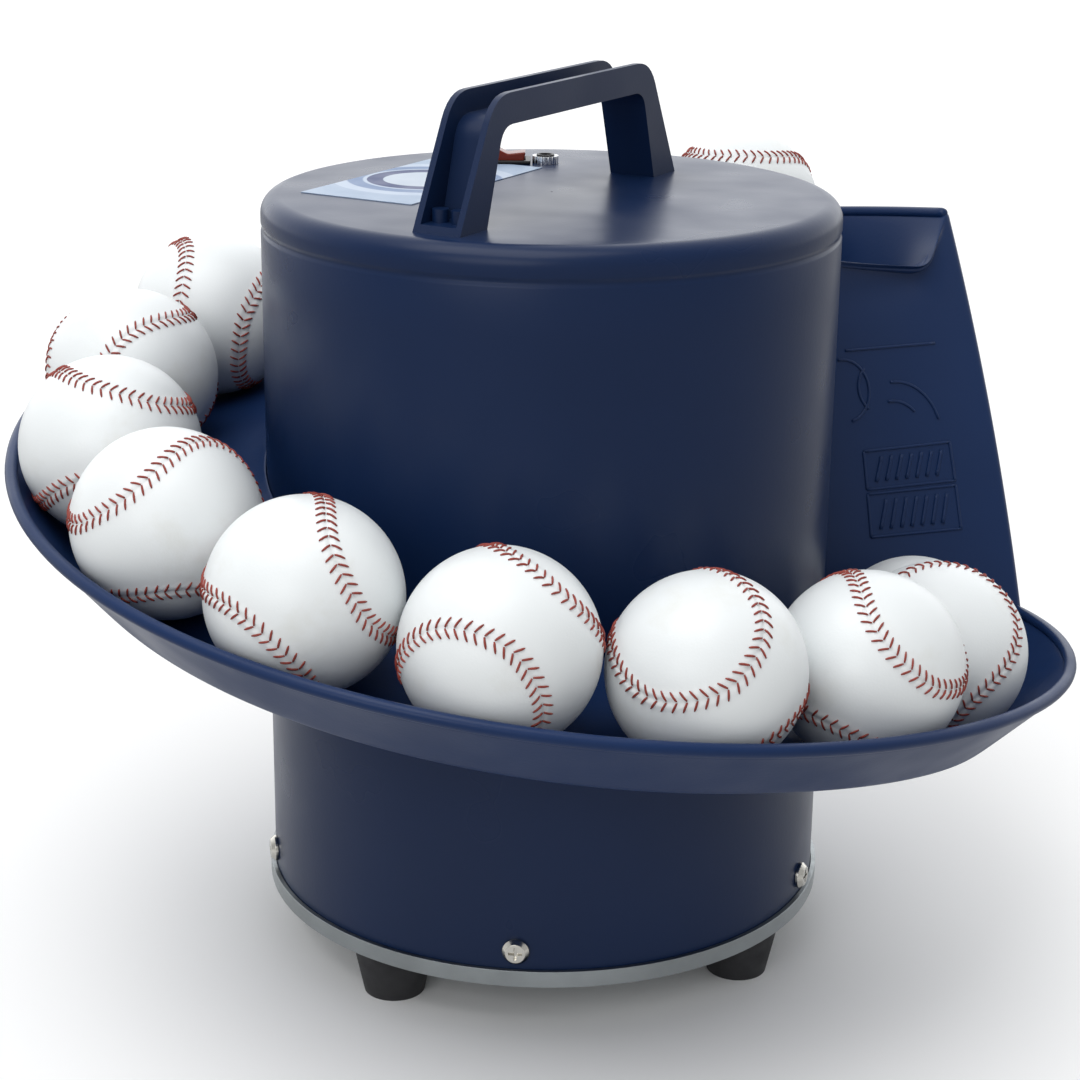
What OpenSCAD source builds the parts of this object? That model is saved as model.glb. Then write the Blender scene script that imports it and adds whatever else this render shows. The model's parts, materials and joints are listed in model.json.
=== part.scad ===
// Soft-toss baseball machine: a drum with a spiral ball trough round it.
// The origin is on the drum's axis at ground level, +Z is up and the front faces -Y.
// Azimuths are in degrees round the drum, from the front (-Y) towards +X.

/* [Drum] */
// Outer radius of the drum
drum_r = 118.2; // [118:0.05:118.3]
// Height of the drum's flat top above the ground
drum_top = 318.5; // [316:0.5:322]
// Thickness of the drum's wall and top
drum_wall = 3; // [2.6:0.1:3.2]
// Rounding of the drum's top edge
drum_edge_r = 7.5; // [6:0.5:9]
// Height of the rubber feet
foot_h = 21; // [20:0.5:22]

/* [Balls] */
// Radius of a baseball
ball_r = 36.9; // [36.3:0.1:36.9]
// Radius of the ring on which the balls' centres lie
ring_r = 181.7; // [181:0.1:182]
// Height of a ball's centre at the front
ring_z = 185.9; // [184:0.1:188]
// Fall of the balls' path per turn
ring_fall = 169.6; // [168:0.1:171]

/* [Trough] */
// Outer radius of the trough's rim
rim_r = 224; // [223.5:0.1:224.5]
// Height of the rim at the front
rim_z = 174.5; // [173.5:0.5:175.5]
// Fall of the rim per turn
rim_fall = 179.1; // [178:0.1:180]
// Thickness of the moulded sheet
sheet_t = 3; // [2.5:0.1:3]
// Radius of the rolled lip
lip_r = 2.6; // [2.4:0.1:2.8]

/* [Toss pocket] */
// Radius at which the last ball waits on the toss cup
pocket_r = 158.6; // [158.6:0.1:159.5]
// How far the last ball sits below the spiral
pocket_drop = 17.6; // [17:0.1:18]

/* [Toss arm] */
// Arm length from its pivot to the cup
arm_l = 107.5; // [107:0.1:108]
// Arm length from its pivot to the roller
tail_l = 45; // [44:0.5:46]
// Angle of the cocked arm below the horizontal
arm_drop = 26; // [25:0.5:27]
// Swing of the arm
arm_swing = 50; // [40:1:50]
// Turn of the cam that lets the arm through its whole swing
cam_turn = 300; // [270:10:300]
// Radius of the cam's roller
roller_r = 9; // [8:0.5:9]

/* [Handle] */
// Half length of the handle at its feet
handle_foot = 89.7; // [88:0.5:91]
// Half length of the handle at its grip
handle_grip = 63.8; // [62:0.5:65]
// Height of the handle above the drum
handle_h = 49; // [46:1:52]
// Width of the handle
handle_w = 20.6; // [20:0.2:22]

/* [Hidden] */
$fn = 64;
eps = 0.01;

// Base pan: a floor with a rim outside the drum
pan_t = 2;
pan_gap = 0.2;
pan_rim_h = 7;
floor_z = foot_h + pan_t;
drum_in_r = drum_r - drum_wall;
screw_turn = -5;
cover_screw_n = 5;
cover_screw_z = foot_h + 15;
foot_ring = 102.5;
foot_turn = -36.5;
foot_top_r = 17;
foot_low_r = 12.5;

// Trough section
sweep_high = -243.75;
sweep_low = 108.75;
sweep_step = 3.75;
flange_r = drum_r + 0.3 + sheet_t;
flange_in = flange_r - sheet_t;
flange_drop = 20;
flange_bend = 9;
foot_run = 6;
spiral_foot = 20;
pocket_foot = 24;
funnel_ease = 1.6;
ease_a = 25;
ease_span = 30;
ball_gap = 0.7;
hug_r = ball_r + ball_gap;
floor_slope = 12;
pocket_slope = 30;
funnel_a = 30;
pocket_a = 90;
funnel_power = 1.6;
lip_start = 215;
lip_end = -60;
corner_run = 8;

// End wall that leans from the low end of the trough up to its high end
end_wall_a = 105;
end_wall_z = 123;
end_wall_lean = 0.1185;
end_wall_t = sheet_t + 0.3;
end_wall_top = 291;

// Toss arm and cam lie in the plane y = 0, on the +X side
cup_x = pocket_r;
cup_drop = 47.9;
pocket_ball_z = ring_z - ring_fall * pocket_a / 360 - pocket_drop;
arm_end_z = pocket_ball_z - cup_drop;
pivot_x = cup_x - arm_l * cos(arm_drop);
pivot_z = arm_end_z + arm_l * sin(arm_drop);
arm_half_h = 4;
arm_half_w = 4;
hub_r = 11;
tail_end_r = 7.5;
pin_r = 4;
run_gap = 0.05;
fit_gap = 0.02;
bush_r = 6.5;
bush_flange_r = 8.5;
bush_flange_t = 1.5;
ear_in = 6;
ear_t = 2.5;
cam_x = 20;
cam_z = 85;
cam_y0 = 10.5;
cam_y1 = 17.5;
cam_gap = 0.06;
cam_ratio = cam_turn / arm_swing;
slot_w = 14;
slot_z0 = 78;
slot_z1 = 160;
cup_r = 17;
cup_gap = 2.5;
cup_shift = 8;
cup_low_z = pocket_ball_z - 41.3;
cup_top_z = pocket_ball_z - 33.9;
spring_arm = 30;
spring_y = -10;
spring_low_z = floor_z + 3;

// Handle
handle_x = 0.5;
handle_y = -17.2;
handle_turn = 90 - 28.7;
handle_leg = 20;
grip_t = 12;
grip_in = 58;
rib_t = 2.6;
web_t = 3.2;
handle_screw_x = 79.5;
handle_screw_y = 4.2;

// Left corner of the label, which lies square to the handle
label_x = -101.3;
label_y = -9.5;

// Switch and charging socket in the drum's top
switch_x = -20;
switch_y = 74;
switch_l = 21;
switch_w = 15;
jack_x = -3;
jack_y = 72;
jack_r = 3.9;

// ---------- helpers ----------

function polar(r, a, z) = [r * sin(a), -r * cos(a), z];
function clamp01(t) = max(0, min(1, t));
function mix(p, q, t) = p + (q - p) * t;
function turn2(v, a) = [v.x * cos(a) - v.y * sin(a), v.x * sin(a) + v.y * cos(a)];
function unit(v) = v / norm(v);
function bezier(p, c, q, n) =
    [for (i = [0 : n]) let(t = i / n) (1 - t) * (1 - t) * p + 2 * t * (1 - t) * c + t * t * q];
function bezier3(p, c, d, q, n) =
    [for (i = [0 : n]) let(t = i / n, s = 1 - t)
        s * s * s * p + 3 * s * s * t * c + 3 * s * t * t * d + t * t * t * q];

// Arc that rounds the corner of a polygon, with its radius set by the tangent length
function round_corner(before, corner, after, run, n) =
    bezier(corner + unit(before - corner) * run, corner, corner + unit(after - corner) * run, n);

module at_azimuth(a) {
    rotate([0, 0, a - 90]) children();
}

// Extrudes an x-z outline between two y positions
module plate_y(y0, y1) {
    translate([0, y1, 0]) rotate([90, 0, 0]) linear_extrude(y1 - y0) children();
}

module rod_y(r, y0, y1) {
    plate_y(y0, y1) circle(r);
}

// Closed solid through rings that all have the same number of points
module skin(rings) {
    n = len(rings[0]);
    last = len(rings) - 1;
    sides = [for (i = [0 : last - 1], j = [0 : n - 1], half = [0, 1])
        let(a = i * n + j, b = i * n + (j + 1) % n)
        half == 0 ? [a, b, b + n] : [a, b + n, a + n]];
    low_cap = [for (j = [n - 1 : -1 : 0]) j];
    high_cap = [for (j = [0 : n - 1]) last * n + j];
    polyhedron(points = [for (ring = rings) each ring], faces = concat(sides, [low_cap, high_cap]));
}

// Round wire along a path; side_dir must never be parallel to the path
module wire(path, r, sides, side_dir) {
    last = len(path) - 1;
    rings = [for (i = [0 : last])
        let(along = unit(path[min(i + 1, last)] - path[max(i - 1, 0)]),
            u = unit(cross(along, side_dir)), v = cross(along, u))
        [for (s = [0 : sides - 1]) path[i] + r * (cos(s * 360 / sides) * u - sin(s * 360 / sides) * v)]];
    skin(rings);
}

// Cross-head screw: head above z = 0, shank below it
module pan_screw(head_r, head_h, shank_r, shank_l) {
    edge_h = head_h * 0.4;
    difference() {
        union() {
            cylinder(r = head_r, h = edge_h);
            translate([0, 0, edge_h]) cylinder(r1 = head_r, r2 = head_r * 0.72, h = head_h - edge_h);
            translate([0, 0, -shank_l]) cylinder(r = shank_r, h = shank_l + eps);
        }
        for (turn = [0, 90])
            rotate([0, 0, turn])
                translate([-head_r * 0.5, -head_r * 0.1, edge_h])
                    cube([head_r, head_r * 0.2, head_h]);
    }
}

// ---------- trough geometry ----------

function ring_height(a) = ring_z - ring_fall * a / 360;
function rim_height(a) = rim_z - rim_fall * a / 360;
function pocket_mix(a) = pow(clamp01((a - funnel_a) / (pocket_a - funnel_a)), funnel_power);
function ball_center(a) =
    let(m = pocket_mix(a)) polar(mix(ring_r, pocket_r, m), a, ring_height(a) - pocket_drop * m);

// Floor control points in the r-z plane, z counted from the balls' spiral:
// flange foot, its curve, floor touch, second curve, floor end, and the floor's slope
function spiral_floor() =
    let(touch = [ring_r - hug_r * sin(floor_slope), -hug_r * cos(floor_slope)], k = tan(floor_slope))
    [[flange_in, -spiral_foot], [flange_in + foot_run, touch.y + (touch.x - flange_in - foot_run) * k], touch,
        [ring_r - 2, touch.y - (ring_r - 2 - touch.x) * k], [ring_r + 3, touch.y - (ring_r + 3 - touch.x) * k]];
function pocket_floor() =
    let(low = -pocket_drop - hug_r,
        lift = [pocket_r + hug_r * sin(pocket_slope), -pocket_drop - hug_r * cos(pocket_slope)])
    [[flange_in, -pocket_drop - pocket_foot], [flange_in + foot_run, low], [pocket_r, low],
        [lift.x - (lift.y - low) / tan(pocket_slope), low], lift];

// The floor lies a little deeper under the steep way down to the pocket
function floor_ease(a) = funnel_ease * clamp01((a - ease_a) / ease_span);

// Inner face of the flange and upper surface of the trough up to the lip, as [r, z] points
function trough_top(a) =
    let(m = pocket_mix(a), base = [0, ring_height(a) - floor_ease(a)],
        f = [for (i = [0 : 4]) base + mix(spiral_floor()[i], pocket_floor()[i], m)],
        slope = mix(-floor_slope, pocket_slope, m),
        lip = [rim_r - lip_r, rim_height(a) - lip_r],
        wall = lip + lip_r * [cos(lip_start), sin(lip_start)],
        to_ball = base + [ring_r, 0] - wall,
        wall_dir = atan2(to_ball.y, to_ball.x) + asin(hug_r / norm(to_ball)),
        k = tan(slope), w = tan(wall_dir - 180),
        corner_r = (wall.y - f[4].y - w * wall.x + k * f[4].x) / (k - w),
        corner = [corner_r, f[4].y + k * (corner_r - f[4].x)])
    concat([[flange_in, f[0].y - flange_drop]], bezier(f[0], f[1], f[2], 5),
        [for (i = [1 : 2]) bezier(f[2], f[3], f[4], 2)[i]],
        round_corner(f[4], corner, wall, corner_run, 3), [wall]);

// The same line moved down and out by the sheet's thickness
function trough_under(a) =
    let(top = trough_top(a), last = len(top) - 1)
    concat([[flange_r, top[0].y], [flange_r, top[1].y - flange_bend]],
        [for (i = [3 : last])
            let(along = unit(top[min(i + 1, last)] - top[i - 1])) top[i] + sheet_t * [along.y, -along.x]]);
function lip_arc(a) =
    [for (i = [1 : 6]) let(t = mix(lip_start, lip_end, i / 6))
        [rim_r - lip_r, rim_height(a) - lip_r] + lip_r * [cos(t), sin(t)]];
function reversed(list) = [for (i = [len(list) - 1 : -1 : 0]) list[i]];
function to_ring(points, a) = [for (p = points) polar(p.x, a, p.y)];
function trough_section(a) = concat(trough_top(a), lip_arc(a), reversed(trough_under(a)));

// Space over and under the trough, used to trim the end wall against it
function space_above(a, z) =
    let(top = trough_top(a), last = len(top) - 1)
    concat([[flange_in, z]], [for (i = [1 : last]) top[i]], [[top[last].x, z]]);
function space_below(a, z) =
    let(low = trough_under(a), last = len(low) - 1)
    concat([[flange_in - 1, z], [flange_in - 1, low[1].y]],
        [for (i = [1 : last]) low[i]], [[rim_r + 4, low[last].y], [rim_r + 4, z]]);

// Azimuth of the end wall's front face at a height
function end_wall_azimuth(z) = end_wall_a + end_wall_lean * (z - end_wall_z);

// Part of the end wall: back0 and back1 are counted along the ring from its front face
module end_sheet(r0, r1, z0, z1, back0, back1) {
    levels = 12;
    skin([for (i = [0 : levels])
        let(z = mix(z0, z1, i / levels), a = end_wall_azimuth(z), along = [cos(a), sin(a), 0])
        [polar(r0, a, z) + back0 * along, polar(r0, a, z) + back1 * along,
            polar(r1, a, z) + back1 * along, polar(r1, a, z) + back0 * along]]);
}

// ---------- outside ----------

module drum_outline(r, low, high, edge) {
    translate([0, low]) square([r, high - low - edge]);
    translate([0, low]) square([r - edge, high - low]);
    translate([r - edge, high - edge]) circle(edge);
}

module drum_cover() {
    bead_drop = 13;
    bead_r = 0.7;
    color("#232f5c") difference() {
        rotate_extrude($fn = 128) difference() {
            drum_outline(drum_r, floor_z + pan_gap, drum_top, drum_edge_r);
            drum_outline(drum_in_r, floor_z, drum_top - drum_wall, drum_edge_r - drum_wall);
            translate([drum_r + bead_r / 2, drum_top - bead_drop]) circle(bead_r);
        }
        toss_slot();
        for (i = [0 : cover_screw_n - 1]) radial_hole(screw_turn + i * 72, cover_screw_z, 2.2);
        for (a = rivet_azimuths) radial_hole(a, rivet_height(a), rivet_hole_r);
        handle_holes(1.8);
        translate([switch_x - switch_l / 2 + 1.4, switch_y - switch_w / 2 + 1.4, drum_top - 2 * drum_wall])
            cube([switch_l - 2.8, switch_w - 2.8, 3 * drum_wall]);
        translate([jack_x, jack_y, drum_top - 2 * drum_wall]) cylinder(r = jack_r + 0.1, h = 3 * drum_wall);
    }
}

module radial_hole(a, z, r) {
    at_azimuth(a) translate([drum_in_r - 12, 0, z]) rotate([0, 90, 0]) cylinder(r = r, h = 30);
}

module handle_holes(r) {
    translate([handle_x, handle_y, drum_top - 2 * drum_wall])
        rotate([0, 0, handle_turn])
            for (x = [-1, 1], y = [-1, 1])
                translate([x * handle_screw_x, y * handle_screw_y, 0]) cylinder(r = r, h = 3 * drum_wall);
}

// Opening through which the arm swings out of the drum
module toss_slot() {
    translate([drum_in_r - 5, -slot_w / 2, slot_z0]) cube([pocket_r - drum_in_r + 5, slot_w, slot_z1 - slot_z0]);
}

// Opening in the pocket's floor for the cup, long enough for the cup's arc
module cup_opening() {
    low = pocket_ball_z - ball_r - 20;
    for (x = [cup_x, cup_x + cup_shift])
        translate([x, 0, low]) cylinder(r = cup_r + cup_gap, h = 40);
    translate([cup_x, -cup_r - cup_gap, low]) cube([cup_shift, 2 * (cup_r + cup_gap), 40]);
}

rivet_azimuths = [-225, -190, -146, -99, -52, -5, 42];
rivet_hole_r = 2.15;
rivet_rise = 6.5;
function rivet_height(a) = trough_top(a)[0].y + rivet_rise;

// The trough and the end wall are one moulding; its rim is brought out to its full diameter
module spiral_tray() {
    $fn = 32;
    slack = 60;
    trim_r = drum_r - 20;
    mid_z = 160;
    color("#2b3a75") resize([2 * rim_r, 2 * rim_r, 0]) difference() {
        union() {
            skin([for (a = [sweep_low : -sweep_step : sweep_high]) to_ring(trough_section(a), a)]);
            difference() {
                end_sheet(flange_in, rim_r - 2, 60, end_wall_top, 0, end_wall_t);
                skin([for (a = [sweep_high : sweep_step : -217]) to_ring(space_above(a, 400), a)]);
                skin([for (a = [sweep_low + sweep_step : -sweep_step : 84]) to_ring(space_below(a, 10), a)]);
            }
            wire([for (i = [0 : 10]) let(z = mix(rim_height(end_wall_a) - 4, end_wall_top - 4, i / 10))
                polar(rim_r - 3, end_wall_azimuth(z), z) + [0, 1.5, 0]], 3, 10, [1, 0, 0]);
        }
        end_sheet(trim_r, rim_r + 9, 30, mid_z, end_wall_t, slack);
        end_sheet(trim_r, rim_r + 9, mid_z + 30, 340, -slack, 0);
        toss_slot();
        cup_opening();
        for (a = rivet_azimuths) radial_hole(a, rivet_height(a), rivet_hole_r);
    }
}

// Blind rivets that hold the trough's flange to the drum
module tray_rivets() {
    color("#9aa0a8")
        for (a = rivet_azimuths)
            at_azimuth(a) translate([0, 0, rivet_height(a)]) rotate([0, 90, 0]) {
                translate([0, 0, drum_in_r - 2]) cylinder(r = 2.1, h = flange_r - drum_in_r + 2 + eps);
                translate([0, 0, drum_in_r - 2.5]) cylinder(r = 3, h = 2.2);
                translate([0, 0, flange_r + 0.05]) cylinder(r1 = 4, r2 = 2.6, h = 1.4);
            }
}

// Pan with a rim round the drum and tabs bent up out of its floor
module base_pan() {
    tab_w = 16;
    tab_t = 2;
    tab_h = 22;
    tab_r = drum_in_r - 0.4;
    window_l = 20;
    rim_in_r = drum_r + pan_gap;
    color("#b9bcc0") difference() {
        union() {
            translate([0, 0, foot_h]) difference() {
                cylinder(r = rim_in_r + pan_t, h = pan_rim_h, $fn = 128);
                translate([0, 0, pan_t]) cylinder(r = rim_in_r, h = pan_rim_h, $fn = 128);
            }
            for (i = [0 : cover_screw_n - 1])
                at_azimuth(screw_turn + i * 72)
                    translate([tab_r - tab_t, -tab_w / 2, foot_h + pan_t / 2]) cube([tab_t, tab_w, tab_h]);
        }
        for (i = [0 : cover_screw_n - 1]) {
            at_azimuth(screw_turn + i * 72)
                translate([tab_r - tab_t - window_l - 0.5, 0.5 - tab_w / 2, foot_h - 1])
                    cube([window_l, tab_w - 1, pan_t + 2]);
            radial_hole(screw_turn + i * 72, cover_screw_z, 2.05);
        }
        for (i = [0 : 3]) translate(polar(foot_ring, foot_turn + i * 90, foot_h - 1)) cylinder(r = 2.6, h = 4);
        for (p = floor_screw_places) translate([p.x, p.y, foot_h - 1]) cylinder(r = 2.1, h = 4);
    }
}

// Five screws through the drum's wall, seen just above the band
module cover_screws() {
    color("#d8dade")
        for (i = [0 : cover_screw_n - 1])
            at_azimuth(screw_turn + i * 72)
                translate([drum_r + 0.1, 0, cover_screw_z]) rotate([0, 90, 0]) pan_screw(5.5, 3, 1.95, 9);
}

module rubber_feet() {
    bore_h = 8;
    color("#1a1a1c")
        for (i = [0 : 3]) translate(polar(foot_ring, foot_turn + i * 90, 0)) difference() {
            cylinder(r1 = foot_low_r, r2 = foot_top_r, h = foot_h);
            translate([0, 0, -1]) cylinder(r = 6, h = bore_h + 1);
            cylinder(r = 2.6, h = foot_h + 1);
        }
}

module foot_screws() {
    color("#c4c6ca")
        for (i = [0 : 3])
            translate(polar(foot_ring, foot_turn + i * 90, 8 - 0.1)) mirror([0, 0, 1]) pan_screw(4.6, 3, 2.5, 22);
}

module foot_nuts() {
    color("#c4c6ca")
        for (i = [0 : 3]) translate(polar(foot_ring, foot_turn + i * 90, floor_z + 0.05)) difference() {
            cylinder(r = 4.6, h = 3.6, $fn = 6);
            translate([0, 0, -1]) cylinder(r = 2.55, h = 6, $fn = 64);
        }
}

// ---------- handle and top fittings ----------

// Outline of the handle's outside: two splayed legs and a grip with rounded corners
function handle_outline(foot, grip, high, run) =
    let(a = [-foot, 0], b = [-grip, high], c = [grip, high], d = [foot, 0])
    concat([a], round_corner(a, b, c, run, 6), round_corner(b, c, d, run, 6), [d]);

module handle() {
    boss_h = 8;
    open_foot = handle_foot - handle_leg;
    open_h = handle_h - grip_t;
    color("#26346a") translate([handle_x, handle_y, drum_top]) rotate([0, 0, handle_turn]) difference() {
        union() {
            difference() {
                plate_y(-handle_w / 2, handle_w / 2) difference() {
                    polygon(handle_outline(handle_foot, handle_grip, handle_h, 11));
                    translate([0, -eps]) polygon(handle_outline(open_foot, grip_in, open_h, 7));
                }
                plate_y(-handle_w / 2 + rib_t, handle_w / 2 - rib_t) difference() {
                    translate([-handle_foot - 5, 3]) square([2 * handle_foot + 10, handle_h + 5]);
                    polygon(handle_outline(open_foot + web_t, grip_in + web_t, open_h + web_t, 9));
                }
            }
            for (x = [-1, 1], y = [-1, 1])
                translate([x * handle_screw_x, y * handle_screw_y, 0]) cylinder(r = 3.2, h = boss_h);
        }
        for (x = [-1, 1], y = [-1, 1])
            translate([x * handle_screw_x, y * handle_screw_y, -1]) cylinder(r = 1.55, h = boss_h);
    }
}

module handle_screws() {
    color("#c4c6ca") translate([handle_x, handle_y, drum_top - drum_wall - 0.1]) rotate([0, 0, handle_turn])
        for (x = [-1, 1], y = [-1, 1])
            translate([x * handle_screw_x, y * handle_screw_y, 0]) mirror([0, 0, 1]) pan_screw(3, 2, 1.5, 9.5);
}

// Printed label, clear of the handle's left leg, the switch and the socket
module top_label() {
    label_t = 0.3;
    label_w = 52.5;
    label_l = 106;
    color("#dfe6ee") translate([0, 0, drum_top + 0.02]) linear_extrude(label_t) difference() {
        translate([label_x, label_y]) rotate([0, 0, handle_turn - 90]) square([label_w, label_l]);
        translate([switch_x - switch_l / 2 - 1, switch_y - switch_w / 2 - 1]) square([switch_l + 2, switch_w + 2]);
        translate([jack_x, jack_y]) circle(7.5);
    }
}

module switch_housing() {
    bezel_h = 1.6;
    body_h = 16;
    color("#151517") translate([switch_x, switch_y, drum_top + 0.05]) difference() {
        union() {
            translate([-switch_l / 2, -switch_w / 2, 0]) cube([switch_l, switch_w, bezel_h]);
            translate([-switch_l / 2 + 1.5, -switch_w / 2 + 1.5, -body_h]) cube([switch_l - 3, switch_w - 3, body_h + eps]);
        }
        translate([-switch_l / 2 + 2.5, -switch_w / 2 + 2.5, -7]) cube([switch_l - 5, switch_w - 5, 12]);
    }
}

rocker_half = 7.6;
rocker_pivot_z = drum_top + 1.2;
module switch_rocker() {
    tilt = 10;
    tip_h = 5.2;
    color("#b4261c") translate([switch_x, switch_y, rocker_pivot_z]) rotate([0, tilt, 0])
        plate_y(-(switch_w - 5.6) / 2, (switch_w - 5.6) / 2)
            polygon([[-rocker_half, -1.2], [-rocker_half, tip_h], [0, tip_h - 2.2], [rocker_half, tip_h],
                [rocker_half, -1.2], [3, -4.2], [-3, -4.2]]);
}

module power_jack() {
    color("#101012") translate([jack_x, jack_y, drum_top]) difference() {
        union() {
            translate([0, 0, -14]) cylinder(r = jack_r, h = 18);
            translate([0, 0, -14]) cylinder(r = 5.5, h = 14 - drum_wall - 0.05);
        }
        translate([0, 0, -8]) cylinder(r = 2.8, h = 20);
    }
}

module jack_nut() {
    teeth = 18;
    color("#d6d8da") translate([jack_x, jack_y, drum_top + 0.05]) difference() {
        cylinder(r = 5.75, h = 3.4);
        translate([0, 0, -1]) cylinder(r = jack_r + 0.05, h = 6);
        for (i = [0 : teeth - 1])
            rotate([0, 0, i * 360 / teeth]) translate([5.95, 0, -1]) cylinder(r = 0.45, h = 6, $fn = 16);
    }
}

// ---------- drive ----------

motor_y = 24;
gearbox_half = 22;
gearbox_l = 26;
motor_r = 18;
motor_l = 48;
motor_hole = 16;
bracket_x0 = -8;
bracket_x1 = 44;
bracket_t = 3;
bracket_y0 = motor_y - bracket_t;
strap_x = -73.5;
strap_y = 43;
floor_screw_places = [[0, 50], [36, 50], [52, 17], [72, 17], [52, -17], [72, -17],
    [strap_x, strap_y], [strap_x, -strap_y]];

module motor_bracket() {
    foot_l = 38;
    color("#8e9298") difference() {
        union() {
            plate_y(bracket_y0, motor_y) translate([bracket_x0, floor_z]) square([bracket_x1 - bracket_x0, 86]);
            translate([bracket_x0, bracket_y0, floor_z]) cube([bracket_x1 - bracket_x0, foot_l, bracket_t]);
        }
        translate([cam_x, 0, cam_z]) {
            rod_y(9, bracket_y0 - 1, motor_y + 1);
            for (x = [-1, 1], z = [-1, 1])
                translate([x * motor_hole, 0, z * motor_hole]) rod_y(2.1, bracket_y0 - 1, motor_y + 1);
        }
        for (i = [0, 1])
            translate([floor_screw_places[i].x, floor_screw_places[i].y, floor_z - 1]) cylinder(r = 2.1, h = 9);
    }
}

module motor_screws() {
    color("#c4c6ca") {
        for (x = [-1, 1], z = [-1, 1])
            translate([cam_x + x * motor_hole, bracket_y0 - 0.05, cam_z + z * motor_hole])
                rotate([90, 0, 0]) pan_screw(3.4, 2.3, 1.95, 10);
        for (i = [0, 1])
            translate([floor_screw_places[i].x, floor_screw_places[i].y, floor_z + bracket_t + 0.05])
                pan_screw(3.8, 2.6, 1.95, 9);
    }
}

module gearbox() {
    color("#3a3d42") translate([cam_x, 0, cam_z]) difference() {
        union() {
            plate_y(motor_y + 0.05, motor_y + gearbox_l)
                polygon(concat(
                    round_corner([-22, 22], [-22, -22], [22, -22], 6, 4), round_corner([-22, -22], [22, -22], [22, 22], 6, 4),
                    round_corner([22, -22], [22, 22], [-22, 22], 6, 4), round_corner([22, 22], [-22, 22], [-22, -22], 6, 4)));
            rod_y(7.5, bracket_y0, motor_y + 1);
        }
        rod_y(pin_r + run_gap, bracket_y0 - 1, motor_y + 17);
        for (x = [-1, 1], z = [-1, 1])
            translate([x * motor_hole, 0, z * motor_hole]) rod_y(2, motor_y - 1, motor_y + 9);
    }
}

module motor() {
    back_y = motor_y + gearbox_l + motor_l;
    color("#a9adb2") translate([cam_x, 0, cam_z]) {
        rod_y(motor_r, motor_y + gearbox_l + 0.05, back_y);
        rod_y(6, back_y - 1, back_y + 3);
        for (x = [-8, 8]) translate([x, 0, 0]) plate_y(back_y - 1, back_y + 5) square([3, 0.8], center = true);
    }
}

module cam_shaft() {
    color("#c9ccd0") translate([cam_x, 0, cam_z]) rod_y(pin_r, 3, motor_y + 15);
}

// Roller centre in the x-z plane when the arm has risen by this angle
function roller_center(rise) =
    [pivot_x, pivot_z] + tail_l * [-cos(arm_drop - rise), sin(arm_drop - rise)];
function pitch_point(turn) = turn2(roller_center(turn / cam_ratio) - [cam_x, cam_z], turn);
function cam_point(turn) =
    let(along = unit(pitch_point(turn + 1) - pitch_point(turn - 1)))
    pitch_point(turn) - (roller_r + cam_gap) * [along.y, -along.x];

// Snail cam: its edge follows the roller and runs on a little, then drops straight back to the start
module toss_cam() {
    step = 5;
    run_on = 15;
    notch_a = 55;
    edge = [for (turn = [0 : step : cam_turn + run_on]) cam_point(turn)];
    low_r = norm(edge[len(edge) - 1]);
    color("#d9d4c2") translate([cam_x, 0, cam_z]) difference() {
        union() {
            plate_y(cam_y0, cam_y1) polygon(concat(edge, [low_r * [cos(notch_a), sin(notch_a)]]));
            rod_y(9, cam_y0 - 6, cam_y0 + eps);
        }
        rod_y(pin_r + fit_gap, cam_y0 - 8, cam_y1 + 1);
        translate([0, cam_y0 - 3, 0]) cylinder(r = 1.55, h = 12);
    }
}

module cam_setscrew() {
    color("#2b2b2e") translate([cam_x, cam_y0 - 3, cam_z + pin_r + 0.1]) difference() {
        cylinder(r = 1.5, h = 4.6);
        translate([0, 0, 2.8]) cylinder(r = 0.8, h = 3, $fn = 6);
    }
}

// Two upright ears on a foot plate
module pivot_bracket() {
    ear_r = 12;
    foot_x0 = 48;
    foot_l = 28;
    foot_w = 46;
    color("#8e9298") difference() {
        union() {
            for (y = [ear_in, -ear_in - ear_t])
                plate_y(y, y + ear_t) {
                    translate([pivot_x - ear_r, floor_z]) square([2 * ear_r, pivot_z - floor_z]);
                    translate([pivot_x, pivot_z]) circle(ear_r);
                }
            translate([foot_x0, -foot_w / 2, floor_z]) cube([foot_l, foot_w, ear_t]);
        }
        translate([pivot_x, 0, pivot_z]) rod_y(pin_r + fit_gap, -20, 20);
        for (i = [2 : 5])
            translate([floor_screw_places[i].x, floor_screw_places[i].y, floor_z - 1]) cylinder(r = 2.1, h = 9);
    }
}

module bracket_screws() {
    color("#c4c6ca")
        for (i = [2 : 5])
            translate([floor_screw_places[i].x, floor_screw_places[i].y, floor_z + ear_t + 0.05])
                pan_screw(3.8, 2.6, 1.95, 8.5);
}

module pivot_pin() {
    end_y = ear_in + ear_t;
    color("#c9ccd0") translate([pivot_x, 0, pivot_z]) difference() {
        union() {
            rod_y(pin_r, -end_y - 1, end_y + 1.6);
            rod_y(6, -end_y - 2.6, -end_y - 0.05);
        }
        difference() {
            rod_y(pin_r + 1, end_y + 0.15, end_y + 1.15);
            rod_y(3.2, end_y, end_y + 2);
        }
    }
}

module pivot_clip() {
    end_y = ear_in + ear_t;
    color("#5a5d62") translate([pivot_x, 0, pivot_z]) difference() {
        rod_y(6.5, end_y + 0.2, end_y + 1.1);
        rod_y(3.3, end_y, end_y + 2);
        translate([-1.6, end_y, -8]) cube([3.2, 2, 6]);
    }
}

// ---------- moving arm ----------

// Places children at a distance along the cocked arm from its pivot
module on_arm(distance) {
    translate([pivot_x + distance * cos(arm_drop), 0, pivot_z - distance * sin(arm_drop)]) children();
}

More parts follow.
